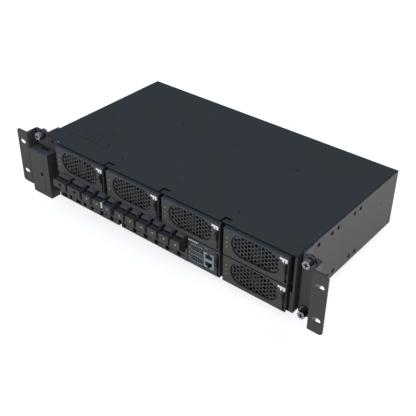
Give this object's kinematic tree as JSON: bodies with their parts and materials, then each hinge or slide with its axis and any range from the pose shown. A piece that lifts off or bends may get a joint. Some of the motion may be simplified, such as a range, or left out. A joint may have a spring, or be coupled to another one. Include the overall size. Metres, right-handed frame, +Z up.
{
  "type": "rack rectifier",
  "caption": "Two-unit rack rectifier shelf: sliding fan-cooled modules, a controller, a row of breakers, a mains inlet cover and slotted mounting ears.",
  "frame": {"origin": "centre of the four ear slots, on the back face of the ears", "axes": "+X to the viewer's right along the front, +Y rearward into the rack, +Z up"},
  "size_m": [0.535, 0.268, 0.1008],
  "materials": {
    "chassis_paint": "fine textured powder coat",
    "front_paint": "satin paint",
    "grille_paint": "satin paint over perforated sheet",
    "zinc_steel": "bright zinc plate",
    "bracket_paint": "satin paint",
    "cover_plastic": "moulded, fine grain",
    "breaker_plastic": "moulded, fine grain",
    "black_plastic": "moulded",
    "connector_plastic": "moulded",
    "jack_shell": "stamped, tinned",
    "circuit_board": "coated laminate",
    "green_lens": "moulded lens",
    "lime_lens": "moulded lens"
  },
  "bodies": {
    "chassis": {"chassis_tray": "chassis_paint", "top_cover": "chassis_paint", "cage_dividers": "chassis_paint", "cage_shelf": "chassis_paint", "backplane": "circuit_board", "right_rack_bracket": "bracket_paint", "left_rack_bracket": "bracket_paint", "bracket_screws": "zinc_steel", "distribution_plates": "front_paint", "breakers": "breaker_plastic", "breaker_lights": "lime_lens", "breaker_link_clip": "zinc_steel", "mains_cover": "cover_plastic", "mains_terminal_block": "connector_plastic", "left_blank_plate": "chassis_paint"},
    "rectifier_1": {"rectifier_1_case": "chassis_paint", "rectifier_1_face": "front_paint", "rectifier_1_grille": "grille_paint", "rectifier_1_fan_frame": "black_plastic", "rectifier_1_lights": "green_lens"},
    "rectifier_1_fan": {"rectifier_1_fan_rotor": "black_plastic"},
    "rectifier_1_latch": {"rectifier_1_latch_lever": "black_plastic", "rectifier_1_latch_catch": "zinc_steel"},
    "rectifier_2": {"rectifier_2_case": "chassis_paint", "rectifier_2_face": "front_paint", "rectifier_2_grille": "grille_paint", "rectifier_2_fan_frame": "black_plastic", "rectifier_2_lights": "green_lens"},
    "rectifier_2_fan": {"rectifier_2_fan_rotor": "black_plastic"},
    "rectifier_2_latch": {"rectifier_2_latch_lever": "black_plastic", "rectifier_2_latch_catch": "zinc_steel"},
    "rectifier_3": {"rectifier_3_case": "chassis_paint", "rectifier_3_face": "front_paint", "rectifier_3_grille": "grille_paint", "rectifier_3_fan_frame": "black_plastic", "rectifier_3_lights": "green_lens"},
    "rectifier_3_fan": {"rectifier_3_fan_rotor": "black_plastic"},
    "rectifier_3_latch": {"rectifier_3_latch_lever": "black_plastic", "rectifier_3_latch_catch": "zinc_steel"},
    "rectifier_4": {"rectifier_4_case": "chassis_paint", "rectifier_4_face": "front_paint", "rectifier_4_grille": "grille_paint", "rectifier_4_fan_frame": "black_plastic", "rectifier_4_lights": "green_lens"},
    "rectifier_4_fan": {"rectifier_4_fan_rotor": "black_plastic"},
    "rectifier_4_latch": {"rectifier_4_latch_lever": "black_plastic", "rectifier_4_latch_catch": "zinc_steel"},
    "rectifier_5": {"rectifier_5_case": "chassis_paint", "rectifier_5_face": "front_paint", "rectifier_5_grille": "grille_paint", "rectifier_5_fan_frame": "black_plastic", "rectifier_5_lights": "green_lens"},
    "rectifier_5_fan": {"rectifier_5_fan_rotor": "black_plastic"},
    "rectifier_5_latch": {"rectifier_5_latch_lever": "black_plastic", "rectifier_5_latch_catch": "zinc_steel"},
    "controller": {"controller_case": "front_paint", "controller_terminals": "connector_plastic", "controller_jacks": "jack_shell", "controller_lights": "green_lens"},
    "controller_latch": {"controller_latch_lever": "black_plastic"}
  },
  "joints": [
    {"name": "rectifier_1_slide", "type": "slide", "parent": "chassis", "child": "rectifier_1", "axis": [0, -1, 0], "range_m": [0, 0.22]},
    {"name": "rectifier_1_fan_spin", "type": "hinge", "parent": "rectifier_1", "child": "rectifier_1_fan", "pos_m": [-0.1388, 0.013, 0.0213], "axis": [0, 1, 0], "continuous": true},
    {"name": "rectifier_1_latch_hinge", "type": "hinge", "parent": "rectifier_1", "child": "rectifier_1_latch", "pos_m": [-0.0939, 0.0056, 0.0072], "axis": [1, 0, 0], "range_deg": [0, 60]},
    {"name": "rectifier_2_slide", "type": "slide", "parent": "chassis", "child": "rectifier_2", "axis": [0, -1, 0], "range_m": [0, 0.22]},
    {"name": "rectifier_2_fan_spin", "type": "hinge", "parent": "rectifier_2", "child": "rectifier_2_fan", "pos_m": [-0.0374, 0.013, 0.0213], "axis": [0, 1, 0], "continuous": true},
    {"name": "rectifier_2_latch_hinge", "type": "hinge", "parent": "rectifier_2", "child": "rectifier_2_latch", "pos_m": [0.0075, 0.0056, 0.0072], "axis": [1, 0, 0], "range_deg": [0, 60]},
    {"name": "rectifier_3_slide", "type": "slide", "parent": "chassis", "child": "rectifier_3", "axis": [0, -1, 0], "range_m": [0, 0.22]},
    {"name": "rectifier_3_fan_spin", "type": "hinge", "parent": "rectifier_3", "child": "rectifier_3_fan", "pos_m": [0.064, 0.013, 0.0213], "axis": [0, 1, 0], "continuous": true},
    {"name": "rectifier_3_latch_hinge", "type": "hinge", "parent": "rectifier_3", "child": "rectifier_3_latch", "pos_m": [0.1089, 0.0056, 0.0072], "axis": [1, 0, 0], "range_deg": [0, 60]},
    {"name": "rectifier_4_slide", "type": "slide", "parent": "chassis", "child": "rectifier_4", "axis": [0, -1, 0], "range_m": [0, 0.22]},
    {"name": "rectifier_4_fan_spin", "type": "hinge", "parent": "rectifier_4", "child": "rectifier_4_fan", "pos_m": [0.1654, 0.013, 0.0213], "axis": [0, 1, 0], "continuous": true},
    {"name": "rectifier_4_latch_hinge", "type": "hinge", "parent": "rectifier_4", "child": "rectifier_4_latch", "pos_m": [0.2103, 0.0056, 0.0072], "axis": [1, 0, 0], "range_deg": [0, 60]},
    {"name": "rectifier_5_slide", "type": "slide", "parent": "chassis", "child": "rectifier_5", "axis": [0, -1, 0], "range_m": [0, 0.22]},
    {"name": "rectifier_5_fan_spin", "type": "hinge", "parent": "rectifier_5", "child": "rectifier_5_fan", "pos_m": [0.1654, 0.013, -0.0208], "axis": [0, 1, 0], "continuous": true},
    {"name": "rectifier_5_latch_hinge", "type": "hinge", "parent": "rectifier_5", "child": "rectifier_5_latch", "pos_m": [0.2103, 0.0056, -0.0349], "axis": [1, 0, 0], "range_deg": [0, 60]},
    {"name": "controller_slide", "type": "slide", "parent": "chassis", "child": "controller", "axis": [0, -1, 0], "range_m": [0, 0.148]},
    {"name": "controller_latch_hinge", "type": "hinge", "parent": "controller", "child": "controller_latch", "pos_m": [0.1098, 0.0056, -0.0349], "axis": [1, 0, 0], "range_deg": [0, 60]}
  ]
}
